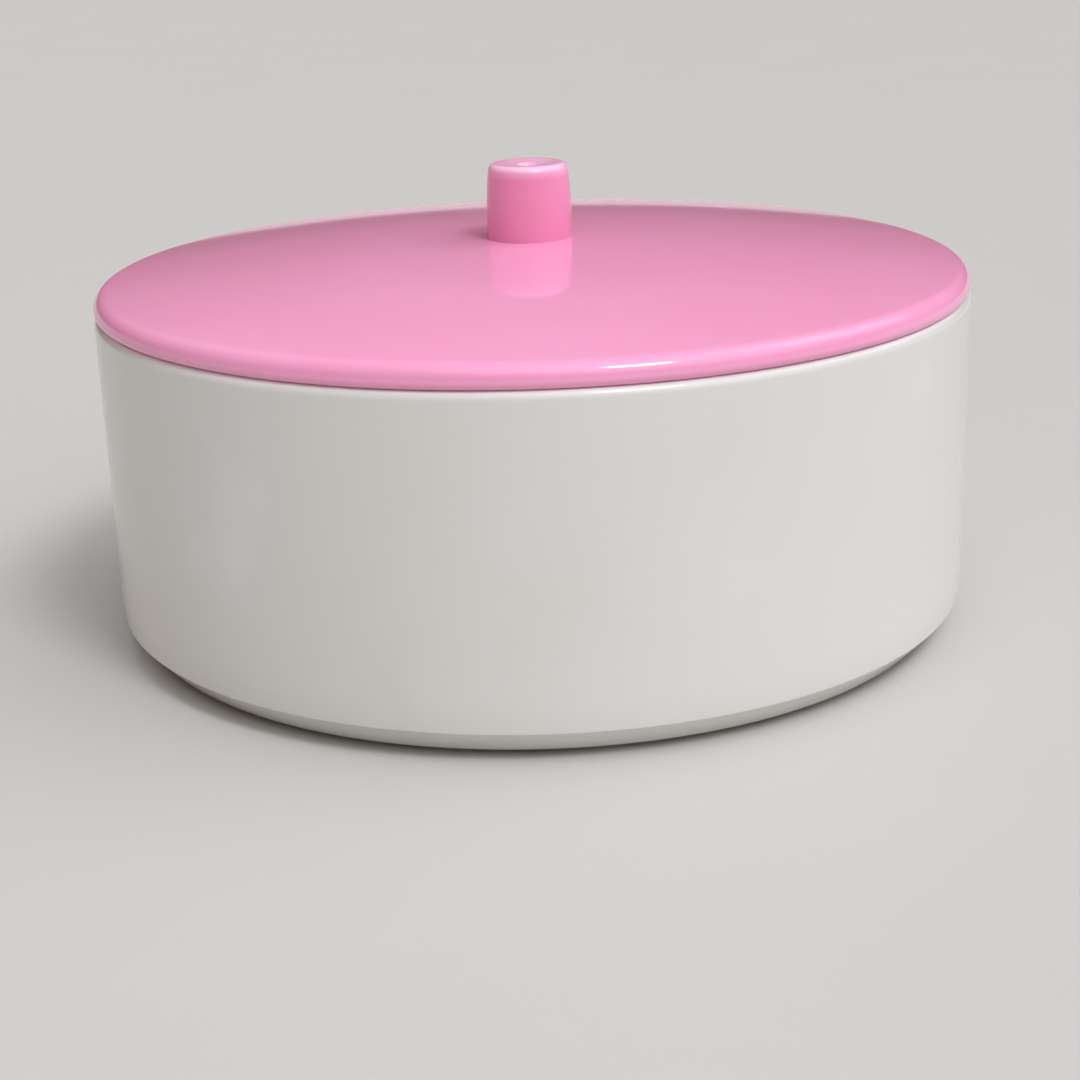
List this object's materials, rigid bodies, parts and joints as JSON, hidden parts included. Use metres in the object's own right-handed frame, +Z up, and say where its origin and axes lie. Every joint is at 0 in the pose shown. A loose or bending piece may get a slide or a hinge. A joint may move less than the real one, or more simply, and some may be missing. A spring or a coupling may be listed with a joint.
{
  "type": "trinket box",
  "caption": "Round plastic trinket box: a straight-sided tub on a low foot ring, and a shallow domed lid with a small cylindrical pull knob. The lid lifts off.",
  "frame": {"origin": "on the box's axis, in the plane of the foot ring's face, so the box stands on z = 0", "axes": "+Z up along the axis of the tub, lid and knob; X and Y are free, because the box is round"},
  "size_m": [0.12, 0.12, 0.0632],
  "materials": {
    "white_plastic": "smooth moulded pearly white, glossy",
    "pink_plastic": "smooth moulded pink, high gloss",
    "screw_steel": "bright zinc plated"
  },
  "bodies": {
    "body": {"body": "white_plastic"},
    "lid": {"lid": "pink_plastic", "knob": "pink_plastic", "knob_screw": "screw_steel"}
  },
  "joints": [
    {"name": "lid_lift", "type": "slide", "parent": "body", "child": "lid", "axis": [0, 0, 1], "range_m": [0, 0.1]}
  ]
}
